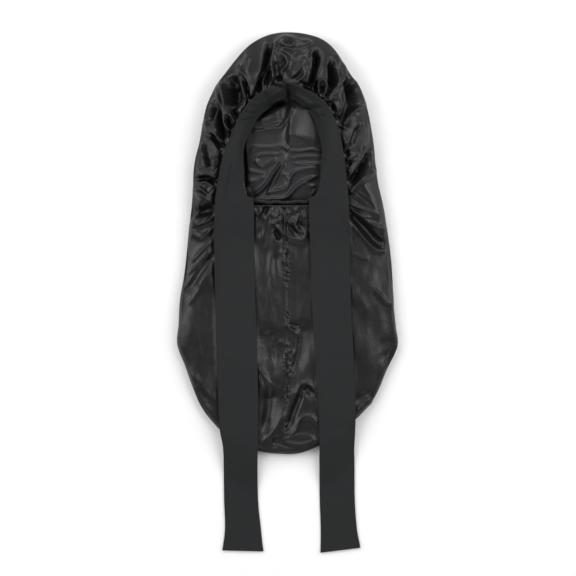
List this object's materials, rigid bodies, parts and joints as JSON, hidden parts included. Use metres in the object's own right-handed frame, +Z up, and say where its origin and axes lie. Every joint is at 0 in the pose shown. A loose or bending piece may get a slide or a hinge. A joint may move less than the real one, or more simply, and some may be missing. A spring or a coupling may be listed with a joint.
{
  "type": "long satin sleep bonnet for braids, lying on its back",
  "caption": "Long satin sleep bonnet with a gathered crown, a wide band round the face opening, flat ties and a ruched nape.",
  "frame": {"origin": "on the surface that it lies on, under the middle of the whole outline", "axes": "+Y toward the crown and against the ties, +X to the right seen from above, +Z up from the surface, out of the face opening"},
  "size_m": [0.3203, 0.7531, 0.0544],
  "materials": {
    "satin": "black polyester satin, soft sheen along the fold crests",
    "jersey": "matte black jersey, doubled and sewn flat"
  },
  "bodies": {
    "root": {"satin_front": "satin", "satin_edge": "satin", "satin_back": "satin", "nape_casing": "satin", "tie_left": "jersey", "tie_right": "jersey"}
  },
  "joints": []
}
